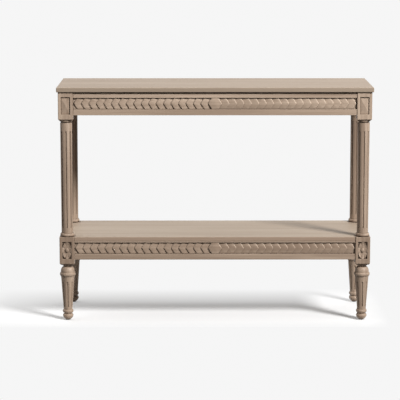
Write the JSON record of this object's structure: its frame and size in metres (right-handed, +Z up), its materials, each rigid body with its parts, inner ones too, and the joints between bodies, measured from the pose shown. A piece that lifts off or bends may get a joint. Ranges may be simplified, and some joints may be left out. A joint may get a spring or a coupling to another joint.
{
  "type": "pier table",
  "caption": "Pier table: a thin rectangular top and a low shelf joined by fluted columns, square carved blocks and turned tapering legs, with lapped-coin friezes on the aprons.",
  "frame": {"origin": "the middle of the table's footprint, on the floor", "axes": "+X along the length to the right as seen from the front, -Y to the front, +Z up"},
  "size_m": [1.219, 0.406, 0.914],
  "materials": {
    "limed_oak": "limed, matt",
    "inner_wood": "bare, sawn",
    "glide_plastic": "moulded",
    "screw_steel": "zinc plated"
  },
  "bodies": {
    "root": {"column_back_left": "limed_oak", "column_back_right": "limed_oak", "column_front_left": "limed_oak", "column_front_right": "limed_oak", "foot_glides": "glide_plastic", "leg_back_left": "limed_oak", "leg_back_right": "limed_oak", "leg_front_left": "limed_oak", "leg_front_right": "limed_oak", "lower_apron_back": "limed_oak", "lower_apron_front": "limed_oak", "lower_apron_left": "limed_oak", "lower_apron_right": "limed_oak", "lower_block_back_left": "limed_oak", "lower_block_back_right": "limed_oak", "lower_block_front_left": "limed_oak", "lower_block_front_right": "limed_oak", "lower_frieze_front": "limed_oak", "lower_frieze_left": "limed_oak", "lower_frieze_right": "limed_oak", "rosette_front_left": "limed_oak", "rosette_front_right": "limed_oak", "rosette_left_side_back": "limed_oak", "rosette_left_side_front": "limed_oak", "rosette_right_side_back": "limed_oak", "rosette_right_side_front": "limed_oak", "shelf": "limed_oak", "shelf_cleat_back_left": "inner_wood", "shelf_cleat_back_right": "inner_wood", "shelf_cleat_front_left": "inner_wood", "shelf_cleat_front_right": "inner_wood", "shelf_cross_rail": "inner_wood", "shelf_screws": "screw_steel", "table_top": "limed_oak", "top_cleat_back_left": "inner_wood", "top_cleat_back_right": "inner_wood", "top_cleat_front_left": "inner_wood", "top_cleat_front_right": "inner_wood", "top_cross_rail": "inner_wood", "top_screws": "screw_steel", "upper_apron_back": "limed_oak", "upper_apron_front": "limed_oak", "upper_apron_left": "limed_oak", "upper_apron_right": "limed_oak", "upper_block_back_left": "limed_oak", "upper_block_back_right": "limed_oak", "upper_block_front_left": "limed_oak", "upper_block_front_right": "limed_oak", "upper_frieze_front": "limed_oak", "upper_frieze_left": "limed_oak", "upper_frieze_right": "limed_oak"}
  },
  "joints": []
}
